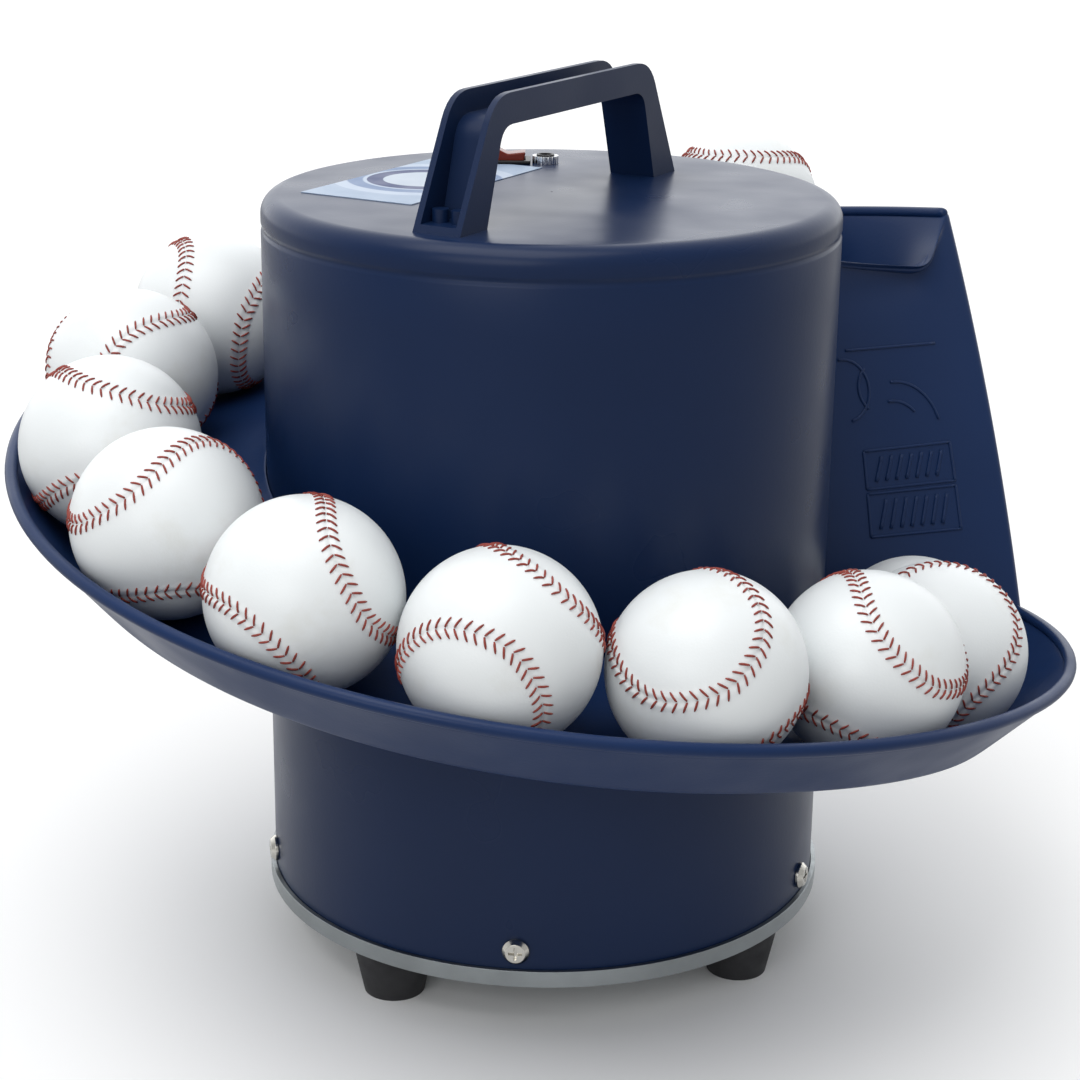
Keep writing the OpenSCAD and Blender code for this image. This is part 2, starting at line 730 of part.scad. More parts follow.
module toss_arm() {
    pad_r = 8;
    color("#9da2a8") difference() {
        union() {
            translate([pivot_x, 0, pivot_z]) rotate([0, arm_drop, 0]) plate_y(-arm_half_w, arm_half_w) {
                circle(hub_r);
                translate([-tail_l, -arm_half_h]) square([tail_l + arm_l, 2 * arm_half_h]);
                translate([-tail_l, 0]) circle(tail_end_r);
            }
            translate([cup_x, 0, arm_end_z - 4]) cylinder(r = pad_r, h = cup_low_z - arm_end_z + 4);
        }
        on_arm(0) rod_y(bush_r + fit_gap, -20, 20);
        on_arm(-tail_l) rod_y(pin_r + fit_gap, -20, 20);
        on_arm(-spring_arm) rod_y(1.65, -20, 20);
        translate([cup_x, 0, arm_end_z - 1]) cylinder(r = 1.65, h = 20);
    }
}

// Flanged bushes pressed into the arm from both sides
module pivot_bushes() {
    color("#b08d4a") on_arm(0)
        for (side = [0, 1]) mirror([0, side, 0]) difference() {
            union() {
                rod_y(bush_r, 0.1, arm_half_w + 0.1);
                rod_y(bush_flange_r, arm_half_w + 0.05, arm_half_w + bush_flange_t);
            }
            rod_y(pin_r + run_gap, -1, 20);
        }
}

// Shallow dish under the ball, grooved underneath for the arm
module toss_cup() {
    groove = 0.3;
    color("#1d1d20") difference() {
        translate([cup_x, 0, cup_low_z + 0.05]) cylinder(r = cup_r, h = cup_top_z - cup_low_z);
        translate([cup_x, 0, pocket_ball_z]) sphere(ball_r + 0.25, $fn = 128);
        translate([cup_x, 0, cup_low_z + 1.8]) cylinder(r = 4, h = 20);
        translate([cup_x, 0, cup_low_z - 1]) cylinder(r = 1.7, h = 20);
        translate([pivot_x, 0, pivot_z]) rotate([0, arm_drop, 0]) plate_y(-arm_half_w - groove, arm_half_w + groove)
            translate([0, -arm_half_h - groove]) square([arm_l + cup_r, 2 * (arm_half_h + groove)]);
    }
}

module cup_screw() {
    color("#c4c6ca") translate([cup_x, 0, cup_low_z + 1.85]) pan_screw(3.5, 1.8, 1.6, 6);
}

module roller_pin() {
    color("#c9ccd0") on_arm(-tail_l) {
        rod_y(pin_r, -arm_half_w, 18.4);
        rod_y(6, arm_half_w + 0.05, cam_y0 - 1.2);
        rod_y(5.6, 18.3, 19.8);
    }
}

module cam_roller() {
    color("#e4e0d4") on_arm(-tail_l) difference() {
        rod_y(roller_r, cam_y0 - 1, cam_y1 + 0.6);
        rod_y(pin_r + run_gap, 0, 25);
    }
}

module spring_pin() {
    color("#c9ccd0") on_arm(-spring_arm) {
        rod_y(1.6, spring_y - 5, arm_half_w);
        rod_y(2.6, spring_y - 6, spring_y - 5 + eps);
    }
}

spring_x = pivot_x - spring_arm * cos(arm_drop);
spring_top_z = pivot_z + spring_arm * sin(arm_drop) - 2;

module toss_spring() {
    turns = 22;
    steps = 12;
    coil_r = 4.2;
    wire_r = 0.9;
    low = spring_low_z + wire_r;
    high = spring_top_z - wire_r;
    color("#b9bcc0")
        wire([for (i = [0 : turns * steps])
            [spring_x + coil_r * cos(i * 360 / steps), spring_y + coil_r * sin(i * 360 / steps),
                mix(low, high, i / (turns * steps))]], wire_r, 6, [0, 0, 1]);
}

// Stud on the pan that holds the spring's lower end
module spring_anchor() {
    color("#8e9298") translate([spring_x, spring_y, floor_z + 0.05]) {
        cylinder(r = 5, h = 2.4);
        cylinder(r = 2.4, h = 14);
    }
}

bumper_x = 41;
bumper_top_z = pivot_z - (pivot_x - bumper_x + 6) * tan(arm_swing - arm_drop)
    - arm_half_h / cos(arm_swing - arm_drop) - 0.5;

module bumper_post() {
    color("#8e9298") translate([bumper_x, 0, floor_z + 0.05]) {
        cylinder(r = 6, h = 8, $fn = 6);
        cylinder(r = 3.5, h = bumper_top_z - floor_z - 4);
    }
}

module arm_bumper() {
    color("#1a1a1c") translate([bumper_x, 0, bumper_top_z - 12]) difference() {
        cylinder(r = 6, h = 12);
        translate([0, 0, -1]) cylinder(r = 3.55, h = 9.2);
    }
}

// ---------- power ----------

battery_x0 = -97;
battery_l = 47;
battery_w = 70;
battery_h = 98;

module battery() {
    color("#2a2b2e") translate([battery_x0, -battery_w / 2, floor_z + 0.1]) {
        cube([battery_l, battery_w, battery_h]);
        for (y = [14, battery_w - 14]) translate([battery_l - 12, y, battery_h - 1]) cylinder(r = 3, h = 6);
    }
}

module battery_strap() {
    strap_w = 16;
    strap_t = 1.5;
    half = battery_w / 2 + 0.4;
    top = floor_z + battery_h + 0.3;
    color("#8e9298") difference() {
        union() {
            translate([strap_x - strap_w / 2, -half - strap_t, top]) cube([strap_w, 2 * (half + strap_t), strap_t]);
            for (side = [0, 1]) mirror([0, side, 0]) {
                translate([strap_x - strap_w / 2, half, floor_z + 0.05]) cube([strap_w, strap_t, battery_h + 1]);
                translate([strap_x - strap_w / 2, half, floor_z + 0.05]) cube([strap_w, 14, strap_t]);
            }
        }
        for (y = [-strap_y, strap_y]) translate([strap_x, y, floor_z - 1]) cylinder(r = 2.1, h = 5);
    }
}

module strap_screws() {
    color("#c4c6ca")
        for (y = [-strap_y, strap_y]) translate([strap_x, y, floor_z + 1.6]) pan_screw(3.8, 2.6, 1.95, 7);
}

module wiring() {
    low = floor_z + battery_h + 7;
    high = drum_top - 19;
    plus = [battery_x0 + battery_l - 12, 21, low];
    minus = [battery_x0 + battery_l - 12, -21, low];
    motor_end = motor_y + gearbox_l + motor_l + 7;
    leads = [
        [plus, plus + [0, 0, 90], [switch_x - 4, switch_y, high - 90], [switch_x - 4, switch_y, high]],
        [[switch_x + 4, switch_y, high], [switch_x + 4, switch_y + 10, high - 90],
            [cam_x - 8, motor_end + 2, cam_z + 120], [cam_x - 8, motor_end, cam_z]],
        [minus, minus + [0, 20, 140], [cam_x + 8, motor_end + 2, cam_z + 180], [cam_x + 8, motor_end, cam_z]],
        [plus + [0, -8, 3], plus + [10, 0, 100], [jack_x, jack_y, high - 60], [jack_x, jack_y, high + 4]]];
    color("#b3261f") for (lead = leads) wire(bezier3(lead[0], lead[1], lead[2], lead[3], 16), 1.3, 8, [1, 0.1, 0]);
}

// ---------- balls ----------

queue_n = 11;
queue_first = 65.4;
queue_pitch = 23.5;
last_ball_a = -209.6;

module toss_ball() {
    color("#eef0f2") translate(ball_center(pocket_a)) sphere(ball_r, $fn = 96);
}

// Balls waiting in the trough, the last one still rolling down to the others
module baseballs() {
    color("#eef0f2") {
        for (i = [0 : queue_n - 1]) translate(ball_center(queue_first - i * queue_pitch)) sphere(ball_r, $fn = 96);
        translate(ball_center(last_ball_a)) sphere(ball_r, $fn = 96);
    }
}

drum_cover();
spiral_tray();
tray_rivets();
base_pan();
cover_screws();
rubber_feet();
foot_screws();
foot_nuts();
handle();
handle_screws();
top_label();
switch_housing();
switch_rocker();
power_jack();
jack_nut();
motor_bracket();
motor_screws();
gearbox();
motor();
cam_shaft();
toss_cam();
cam_setscrew();
pivot_bracket();
bracket_screws();
pivot_pin();
pivot_clip();
toss_arm();
pivot_bushes();
toss_cup();
cup_screw();
roller_pin();
cam_roller();
spring_pin();
toss_spring();
spring_anchor();
bumper_post();
arm_bumper();
battery();
battery_strap();
strap_screws();
wiring();
toss_ball();
baseballs();
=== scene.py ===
"""Looks for the baseball toss machine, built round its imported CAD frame.

Azimuths are in degrees round the drum, from the front (-Y) towards +X. Lengths are in metres.
"""
import json
import math

import bpy
import bmesh
import numpy as np
from mathutils import Euler, Matrix, Vector


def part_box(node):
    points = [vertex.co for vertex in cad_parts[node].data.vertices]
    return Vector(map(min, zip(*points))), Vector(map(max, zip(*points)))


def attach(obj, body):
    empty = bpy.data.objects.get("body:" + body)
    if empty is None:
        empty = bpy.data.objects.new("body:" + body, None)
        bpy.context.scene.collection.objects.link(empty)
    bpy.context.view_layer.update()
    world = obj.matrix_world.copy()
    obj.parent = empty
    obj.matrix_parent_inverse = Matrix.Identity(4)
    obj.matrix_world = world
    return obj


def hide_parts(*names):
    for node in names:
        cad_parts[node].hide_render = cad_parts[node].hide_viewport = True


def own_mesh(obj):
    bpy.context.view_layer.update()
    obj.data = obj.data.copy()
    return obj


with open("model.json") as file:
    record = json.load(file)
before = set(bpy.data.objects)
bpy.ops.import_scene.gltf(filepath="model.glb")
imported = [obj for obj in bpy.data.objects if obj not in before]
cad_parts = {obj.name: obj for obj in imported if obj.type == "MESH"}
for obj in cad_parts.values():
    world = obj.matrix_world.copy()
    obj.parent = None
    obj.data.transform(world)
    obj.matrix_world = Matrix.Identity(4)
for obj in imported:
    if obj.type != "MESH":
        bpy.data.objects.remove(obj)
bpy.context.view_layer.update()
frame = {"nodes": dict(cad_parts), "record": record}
nodes = frame["nodes"]

# ---------- sizes read from the frame ----------

drum_low, drum_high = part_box("drum_cover")
DRUM_R = drum_high.x
DRUM_TOP = drum_high.z
RIM_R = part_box("spiral_tray")[1].x
pocket_low, pocket_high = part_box("toss_ball")
BALL_R = (pocket_high.z - pocket_low.z) / 2
POCKET = (pocket_low + pocket_high) / 2
POCKET_R = math.hypot(POCKET.x, POCKET.y)

# ---------- shared dimensions of the moulding ----------

SHEET = 0.003
LIP_R = 0.0026
FLANGE_IN = DRUM_R + 0.0003
FLANGE_DROP = 0.020
FOOT_RUN = 0.006
SPIRAL_FOOT = 0.020
POCKET_FOOT = 0.024
FUNNEL_EASE = 0.0016
EASE_A = 25
EASE_SPAN = 30
RIM_Z = 0.1745
RIM_FALL = 0.1791 / 360
FLOOR_SLOPE = 12
POCKET_SLOPE = 30
FUNNEL_A = 30
POCKET_A = 90
FUNNEL_POWER = 1.6
HUG_R = BALL_R + 0.0007
WALL_A = 105
WALL_Z = 0.123
WALL_LEAN = 118.5
CORNER_RUN = 0.008


def azimuth(p):
    """Azimuth of a point, with the trough's upper part past the back as negative angles."""
    a = math.degrees(math.atan2(p[0], -p[1]))
    return a - 360 if a > POCKET_A + 5 else a


def polar(r, a, z):
    t = math.radians(a)
    return Vector((r * math.sin(t), -r * math.cos(t), z))


def mix(a, b, t):
    return a + (b - a) * t


def smooth(t):
    t = min(1.0, max(0.0, t))
    return t * t * (3 - 2 * t)


def islands(obj):
    """Vertex groups of the separate solids in a mesh."""
    mesh = obj.data
    parent = list(range(len(mesh.vertices)))

    def root(i):
        while parent[i] != i:
            parent[i] = parent[parent[i]]
            i = parent[i]
        return i

    for edge in mesh.edges:
        a, b = root(edge.vertices[0]), root(edge.vertices[1])
        if a != b:
            parent[a] = b
    groups = {}
    for v in mesh.vertices:
        groups.setdefault(root(v.index), []).append(v.co)
    return list(groups.values())


def ball_centers(obj):
    """Centres of the balls in a node, from the pocket end of the trough upwards."""
    centers = []
    for points in islands(obj):
        low = Vector([min(p[i] for p in points) for i in range(3)])
        high = Vector([max(p[i] for p in points) for i in range(3)])
        middle = (low + high) / 2
        if all((middle - c).length > BALL_R for c in centers):
            centers.append(middle)
    return sorted(centers, key=lambda c: -azimuth(c))


queue = ball_centers(nodes["baseballs"])
RING_R = math.hypot(queue[-1].x, queue[-1].y)
RING_FALL = (queue[-1].z - queue[-2].z) / (azimuth(queue[-2]) - azimuth(queue[-1]))
RING_Z = queue[-1].z + RING_FALL * azimuth(queue[-1])
POCKET_DROP = RING_Z - RING_FALL * POCKET_A - POCKET.z

# ---------- trough section ----------


def bezier(p, c, q, n):
    return [(1 - t) ** 2 * p + 2 * t * (1 - t) * c + t * t * q for t in [i / n for i in range(n + 1)]]


def rounded(before, corner, after, run, n):
    run = min(run, 0.45 * (before - corner).length, 0.45 * (after - corner).length)
    return bezier(corner + (before - corner).normalized() * run, corner,
                  corner + (after - corner).normalized() * run, n)


def rim_height(a):
    return RIM_Z - RIM_FALL * a


def ring_height(a):
    return RING_Z - RING_FALL * a


def pocket_mix(a):
    t = min(1.0, max(0.0, (a - FUNNEL_A) / (POCKET_A - FUNNEL_A)))
    return t ** FUNNEL_POWER


def spiral_floor():
    s = math.radians(FLOOR_SLOPE)
    k = math.tan(s)
    touch = Vector((RING_R - HUG_R * math.sin(s), -HUG_R * math.cos(s)))
    bend_r = FLANGE_IN + FOOT_RUN
    return [Vector((FLANGE_IN, -SPIRAL_FOOT)), Vector((bend_r, touch.y + (touch.x - bend_r) * k)), touch,
            touch + Vector((RING_R - 0.002 - touch.x, -(RING_R - 0.002 - touch.x) * k)),
            touch + Vector((RING_R + 0.003 - touch.x, -(RING_R + 0.003 - touch.x) * k))]


def pocket_floor():
    s = math.radians(POCKET_SLOPE)
    low = -POCKET_DROP - HUG_R
    lift = Vector((POCKET_R + HUG_R * math.sin(s), -POCKET_DROP - HUG_R * math.cos(s)))
    return [Vector((FLANGE_IN, -POCKET_DROP - POCKET_FOOT)), Vector((FLANGE_IN + FOOT_RUN, low)),
            Vector((POCKET_R, low)), Vector((lift.x - (lift.y - low) / math.tan(s), low)), lift]


def section(a):
    """Flange and upper surface of the trough at an azimuth, up to the lip, as (r, z) points."""
    m = pocket_mix(a)
    base = Vector((0, ring_height(a) - FUNNEL_EASE * min(1.0, max(0.0, (a - EASE_A) / EASE_SPAN))))
    f = [base + p.lerp(q, m) for p, q in zip(spiral_floor(), pocket_floor())]
    k = math.tan(math.radians(mix(-FLOOR_SLOPE, POCKET_SLOPE, m)))
    lip = Vector((RIM_R - LIP_R, rim_height(a) - LIP_R))
    start = math.radians(215)
    wall = lip + LIP_R * Vector((math.cos(start), math.sin(start)))
    to_ball = base + Vector((RING_R, 0)) - wall
    w = math.tan(math.atan2(to_ball.y, to_ball.x) + math.asin(HUG_R / to_ball.length))
    corner_r = (wall.y - f[4].y - w * wall.x + k * f[4].x) / (k - w)
    corner = Vector((corner_r, f[4].y + k * (corner_r - f[4].x)))
    bend = rounded(f[4], corner, wall, CORNER_RUN, 4)
    flange = [Vector((FLANGE_IN, f[0].y - drop)) for drop in (FLANGE_DROP, 0.0012)]
    return (flange + bezier(f[0], f[1], f[2], 7) + bezier(f[2], f[3], f[4], 3)[1:] + bend
            + [bend[-1].lerp(wall, 0.55), wall, lip])


COLUMNS = len(section(0))
FOOT = 2


def wall_azimuth(z):
    return WALL_A + WALL_LEAN * (z - WALL_Z)


def end_azimuths(first, turn):
    """Azimuth at which each line along the trough meets the end wall."""
    ends = []
    for j in range(COLUMNS):
        a = first
        for _ in range(5):
            a = wall_azimuth(section(a)[j].y) + turn
        ends.append(a)
    return ends


HIGH = end_azimuths(-238, -360)
LOW = end_azimuths(105, 0)

# ---------- mesh helpers ----------


def new_object(name, mesh, body="machine", smooth_faces=True):
    obj = bpy.data.objects.new(name, mesh)
    bpy.context.scene.collection.objects.link(obj)
    if smooth_faces:
        mesh.polygons.foreach_set("use_smooth", [True] * len(mesh.polygons))
    if body:
        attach(obj, body)
    return obj


def mesh_from(name, points, faces):
    mesh = bpy.data.meshes.new(name)
    mesh.from_pydata([tuple(p) for p in points], [], faces)
    mesh.validate()
    mesh.update()
    return mesh


def add_tube(points, faces, path, radii, sides, side_dir, closed=False):
    """Adds a round tube along a path to the lists of a mesh, with end caps unless it is closed."""
    base = len(points)
    last = len(path) - 1
    for i, p in enumerate(path):
        before = path[i - 1] if i > 0 or closed else path[0]
        after = path[(i + 1) % len(path)] if i < last or closed else path[last]
        along = (after - before).normalized()
        hint = side_dir(i) if callable(side_dir) else side_dir
        u = along.cross(hint).normalized()
        v = along.cross(u)
        radius = radii[i] if isinstance(radii, (list, tuple)) else radii
        for s in range(sides):
            t = 2 * math.pi * s / sides
            points.append(p + radius * (math.cos(t) * u + math.sin(t) * v))
    rings = len(path) if closed else last
    for i in range(rings):
        for s in range(sides):
            a = base + i * sides + s
            b = base + i * sides + (s + 1) % sides
            c = base + (i + 1) % len(path) * sides + (s + 1) % sides
            d = base + (i + 1) % len(path) * sides + s
            faces.append((a, b, c, d))
    if not closed:
        faces.append(tuple(base + s for s in reversed(range(sides))))
        faces.append(tuple(base + last * sides + s for s in range(sides)))


def lathe(points, faces, profile, segments):
    """Adds a closed (r, z) profile turned round the z axis to the lists of a mesh."""
    base = len(points)
    n = len(profile)
    for i in range(segments):
        for p in profile:
            points.append(polar(p[0], 360 * i / segments, p[1]))
    for i in range(segments):
        for j in range(n):
            a = base + i * n + j
            b = base + i * n + (j + 1) % n
            c = base + (i + 1) % segments * n + (j + 1) % n
            d = base + (i + 1) % segments * n + j
            faces.append((a, d, c, b))


def arc(cx, cy, r, start, end, n):
    return [(cx + r * math.cos(math.radians(mix(start, end, i / n))),
             cy + r * math.sin(math.radians(mix(start, end, i / n)))) for i in range(n + 1)]


def face_outwards(mesh):
    """Turns the faces of a closed mesh so that its volume counts as positive."""
    bm = bmesh.new()
    bm.from_mesh(mesh)
    bmesh.ops.recalc_face_normals(bm, faces=bm.faces)
    if bm.calc_volume(signed=True) < 0:
        bmesh.ops.reverse_faces(bm, faces=bm.faces)
    bm.to_mesh(mesh)
    bm.free()


def modify(obj, kind, **values):
    m = obj.modifiers.new(kind.title(), kind)
    for key, value in values.items():
        setattr(m, key, value)
    return m


def apply_modifiers(obj):
    """Replaces the object's mesh with its evaluated one."""
    bpy.context.view_layer.update()
    graph = bpy.context.evaluated_depsgraph_get()
    obj.data = bpy.data.meshes.new_from_object(obj.evaluated_get(graph))
    obj.modifiers.clear()


# ---------- materials ----------


class Look:
    """A principled material in object coordinates, with the few nodes that the looks here share."""

    def __init__(self, name, color, roughness, metallic=0.0):
        self.mat = bpy.data.materials.new(name)
        self.mat.use_nodes = True
        self.tree = self.mat.node_tree
        self.bsdf = self.tree.nodes["Principled BSDF"]
        self.bsdf.inputs["Metallic"].default_value = metallic
        self.bsdf.inputs["Roughness"].default_value = roughness
        self.bsdf.inputs["Base Color"].default_value = (*color, 1)
        self.color = color
        self.coords = self.tree.nodes.new("ShaderNodeTexCoord").outputs["Object"]

    def put(self, socket, value):
        if isinstance(value, bpy.types.NodeSocket):
            self.tree.links.new(value, socket)
        elif value is not None:
            socket.default_value = value

    def set(self, name, value):
        self.put(self.bsdf.inputs[name], value)

    def stretched(self, scale, turn=(0, 0, 0)):
        node = self.tree.nodes.new("ShaderNodeMapping")
        node.inputs["Scale"].default_value = scale
        node.inputs["Rotation"].default_value = turn
        self.put(node.inputs["Vector"], self.coords)
        return node.outputs["Vector"]

    def noise(self, scale, detail=3.0, rough=0.5, vector=None):
        node = self.tree.nodes.new("ShaderNodeTexNoise")
        node.inputs["Scale"].default_value = scale
        node.inputs["Detail"].default_value = detail
        node.inputs["Roughness"].default_value = rough
        self.put(node.inputs["Vector"], vector or self.coords)
        return node.outputs["Fac"]

    def cells(self, scale):
        node = self.tree.nodes.new("ShaderNodeTexVoronoi")
        node.inputs["Scale"].default_value = scale
        self.put(node.inputs["Vector"], self.coords)
        return node.outputs["Distance"]

    def ramp(self, value, low, high, to_low, to_high):
        node = self.tree.nodes.new("ShaderNodeMapRange")
        for name, v in (("From Min", low), ("From Max", high), ("To Min", to_low), ("To Max", to_high)):
            node.inputs[name].default_value = v
        self.put(node.inputs["Value"], value)
        return node.outputs["Result"]

    def math(self, kind, a, b=None):
        node = self.tree.nodes.new("ShaderNodeMath")
        node.operation = kind
        self.put(node.inputs[0], a)
        self.put(node.inputs[1], b)
        return node.outputs["Value"]

    def blend(self, factor, a, b):
        node = self.tree.nodes.new("ShaderNodeMix")
        node.data_type = "RGBA"
        self.put(node.inputs["Factor"], factor)
        self.put(node.inputs["A"], (*a, 1) if isinstance(a, tuple) else a)
        self.put(node.inputs["B"], (*b, 1) if isinstance(b, tuple) else b)
        return node.outputs["Result"]

    def bump(self, height, strength, distance, below=None):
        node = self.tree.nodes.new("ShaderNodeBump")
        node.inputs["Strength"].default_value = strength
        node.inputs["Distance"].default_value = distance
        self.put(node.inputs["Height"], height)
        if below is not None:
            self.put(node.inputs["Normal"], below)
        self.set("Normal", node.outputs["Normal"])
        return node.outputs["Normal"]

    def split(self):
        node = self.tree.nodes.new("ShaderNodeSeparateXYZ")
        self.put(node.inputs["Vector"], self.coords)
        return node.outputs


def shade(color, factor):
    return tuple(c * factor for c in color)


def moulded_plastic(name, color, rough_low, rough_high, peel=0.12):
    """Satin moulded plastic: cloudy tone, orange-peel skin, faint rub marks."""
    look = Look(name, color, rough_low)
    cloud = look.noise(9, 4)
    tone = look.blend(cloud, shade(color, 0.82), shade(color, 1.18))
    rubs = look.ramp(look.noise(60, 5, 0.7, look.stretched((1, 1, 7))), 0.64, 0.82, 0.0, 0.1)
    look.set("Base Color", look.blend(rubs, tone, shade(color, 1.8)))
    look.set("Roughness", look.ramp(look.noise(24, 2), 0.3, 0.7, rough_low, rough_high))
    peel_skin = look.bump(look.noise(620, 2), peel, 0.0002)
    look.bump(look.noise(30, 1), 0.05, 0.0006, peel_skin)
    look.set("Specular IOR Level", 0.22)
    return look.mat


def brushed_metal(name, color, rough_low, rough_high, stretch=(1, 1, 30)):
    """Metal with fine lines along its length, smudges and a few darker specks."""
    look = Look(name, color, rough_low, 1.0)
    lines = look.noise(240, 4, 0.7, look.stretched(stretch))
    smudge = look.noise(26, 4)
    look.set("Base Color", look.blend(look.ramp(smudge, 0.35, 0.75, 0, 1), shade(color, 0.72), color))
    look.set("Roughness", look.ramp(lines, 0.25, 0.75, rough_low, rough_high))
    look.bump(lines, 0.18, 0.0002)
    return look.mat


def polished_metal(name, color):
    look = Look(name, color, 0.12, 1.0)
    look.set("Roughness", look.ramp(look.noise(120, 4), 0.3, 0.7, 0.08, 0.28))
    look.set("Base Color", look.blend(look.noise(60, 3), shade(color, 0.8), color))
    look.bump(look.noise(300, 2), 0.05, 0.0001)
    return look.mat


def rubber(name, color):
    """Matte rubber with a grainy skin and dusty patches."""
    look = Look(name, color, 0.7)
    dust = look.ramp(look.noise(38, 5, 0.65), 0.5, 0.8, 0.0, 0.5)
    look.set("Base Color", look.blend(dust, color, shade(color, 3.2)))
    look.set("Roughness", look.ramp(look.noise(80, 3), 0.3, 0.7, 0.55, 0.85))
    look.bump(look.noise(1500, 3), 0.25, 0.0002)
    return look.mat


def leather():
    """White ball leather: fine pebble grain, faint warm smudges and creases."""
    color = (0.80, 0.825, 0.83)
    look = Look("ball_leather", color, 0.42)
    smudge = look.ramp(look.noise(45, 5, 0.6), 0.55, 0.85, 0.0, 0.45)
    tone = look.blend(look.noise(18, 3), shade(color, 0.95), (0.85, 0.88, 0.885))
    look.set("Base Color", look.blend(smudge, tone, (0.66, 0.65, 0.58)))
    look.set("Roughness", look.ramp(look.noise(90, 3), 0.3, 0.7, 0.32, 0.5))
    grain = look.bump(look.cells(1100), 0.1, 0.0002)
    look.bump(look.noise(160, 5, 0.6), 0.12, 0.0003, grain)
    look.set("Coat Weight", 0.15)
    look.set("Coat Roughness", 0.3)
    return look.mat


def thread():
    """Waxed red-brown stitching thread with a fine twist."""
    color = (0.26, 0.035, 0.022)
    look = Look("ball_thread", color, 0.55)
    twist = look.noise(900, 2, 0.5)
    look.set("Base Color", look.blend(twist, shade(color, 0.55), shade(color, 1.5)))
    look.bump(twist, 0.4, 0.0002)
    return look.mat


def label_print(center, radius):
    """Printed film: pale ground, curved stripes round the label's centre, and a dark band."""
    look = Look("label_print", (0.4, 0.47, 0.58), 0.4)
    x, y, _ = look.split()
    dx = look.math("SUBTRACT", x, center.x)
    dy = look.math("SUBTRACT", y, center.y)
    dist = look.math("SQRT", look.math("ADD", look.math("MULTIPLY", dx, dx), look.math("MULTIPLY", dy, dy)))
    stripes = look.math("SINE", look.math("MULTIPLY", dist, 2 * math.pi / 0.013))
    pale = look.blend(look.ramp(stripes, -0.15, 0.15, 0, 1), (0.4, 0.47, 0.58), (0.14, 0.21, 0.36))
    edge = look.ramp(dist, radius * 0.80, radius * 0.81, 0, 1)
    rim = look.blend(edge, pale, (0.3, 0.38, 0.5))
    disc = look.ramp(dist, radius * 0.5, radius * 0.505, 1, 0)
    core = look.blend(disc, rim, (0.012, 0.03, 0.13))
    inner = look.ramp(dist, radius * 0.36, radius * 0.365, 1, 0)
    look.set("Base Color", look.blend(inner, core, (0.42, 0.48, 0.56)))
    look.set("Roughness", look.ramp(look.noise(70, 4), 0.3, 0.7, 0.35, 0.5))
    look.set("Specular IOR Level", 0.25)
    look.bump(look.noise(60, 3), 0.05, 0.0003)
    return look.mat


NAVY = (0.0050, 0.0170, 0.060)
label_low, label_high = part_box("top_label")
label_center = (label_low + label_high) / 2
looks = {
    "shell_plastic": moulded_plastic("shell_plastic", NAVY, 0.26, 0.36),
    "tray_plastic": moulded_plastic("tray_plastic", shade(NAVY, 1.45), 0.3, 0.46, 0.2),
    "handle_plastic": moulded_plastic("handle_plastic", shade(NAVY, 0.95), 0.3, 0.45),
    "rivet_aluminium": brushed_metal("rivet_aluminium", (0.6, 0.61, 0.63), 0.3, 0.45),
    "pan_steel": brushed_metal("pan_steel", (0.40, 0.43, 0.44), 0.26, 0.5, (1, 1, 14)),
    "bright_screw": polished_metal("bright_screw", (0.72, 0.7, 0.64)),
    "zinc_fastener": brushed_metal("zinc_fastener", (0.6, 0.6, 0.57), 0.3, 0.5, (1, 1, 1)),
    "foot_rubber": rubber("foot_rubber", (0.016, 0.016, 0.018)),
    "label_film": label_print(label_center, (label_high.x - label_low.x) / 2),
    "black_plastic": moulded_plastic("black_plastic", (0.012, 0.012, 0.014), 0.3, 0.5),
    "red_plastic": moulded_plastic("red_plastic", (0.15, 0.022, 0.012), 0.18, 0.3, 0.03),
    "nut_chrome": polished_metal("nut_chrome", (0.74, 0.75, 0.77)),
    "bracket_steel": brushed_metal("bracket_steel", (0.45, 0.46, 0.48), 0.35, 0.55, (30, 1, 1)),
    "gearbox_paint": moulded_plastic("gearbox_paint", (0.045, 0.048, 0.055), 0.4, 0.6),
    "motor_steel": brushed_metal("motor_steel", (0.5, 0.51, 0.53), 0.28, 0.45, (1, 30, 1)),
    "shaft_steel": polished_metal("shaft_steel", (0.6, 0.61, 0.63)),
    "nylon": moulded_plastic("nylon", (0.68, 0.65, 0.55), 0.45, 0.6, 0.05),
    "black_oxide": brushed_metal("black_oxide", (0.06, 0.06, 0.065), 0.4, 0.6, (1, 1, 1)),
    "arm_aluminium": brushed_metal("arm_aluminium", (0.58, 0.59, 0.61), 0.3, 0.5, (20, 1, 1)),
    "bush_bronze": brushed_metal("bush_bronze", (0.5, 0.32, 0.12), 0.3, 0.5, (1, 1, 1)),
    "cup_rubber": rubber("cup_rubber", (0.02, 0.02, 0.022)),
    "spring_steel": polished_metal("spring_steel", (0.5, 0.51, 0.53)),
    "battery_case": moulded_plastic("battery_case", (0.018, 0.018, 0.02), 0.4, 0.6, 0.3),
    "wire_sheath": moulded_plastic("wire_sheath", (0.4, 0.03, 0.02), 0.3, 0.45, 0.03),
    "ball_leather": leather(),
}
thread_look = thread()


def paint(obj, slot_name):
    obj.data.materials.clear()
    obj.data.materials.append(looks[slot_name])


def soften(obj, width):
    """Rounds the sharp edges of a CAD node with modifiers only."""
    modify(obj, "WELD", merge_threshold=1e-5)
    modify(obj, "DECIMATE", decimate_type="DISSOLVE", angle_limit=math.radians(0.5))
    modify(obj, "BEVEL", width=width, segments=3, limit_method="ANGLE", angle_limit=math.radians(32),
           harden_normals=False)
    modify(obj, "WEIGHTED_NORMAL", keep_sharp=False, weight=60)


for part in frame["record"]["subparts"]:
    paint(nodes[part["node"]], part["material_slot"])

# ---------- drum ----------


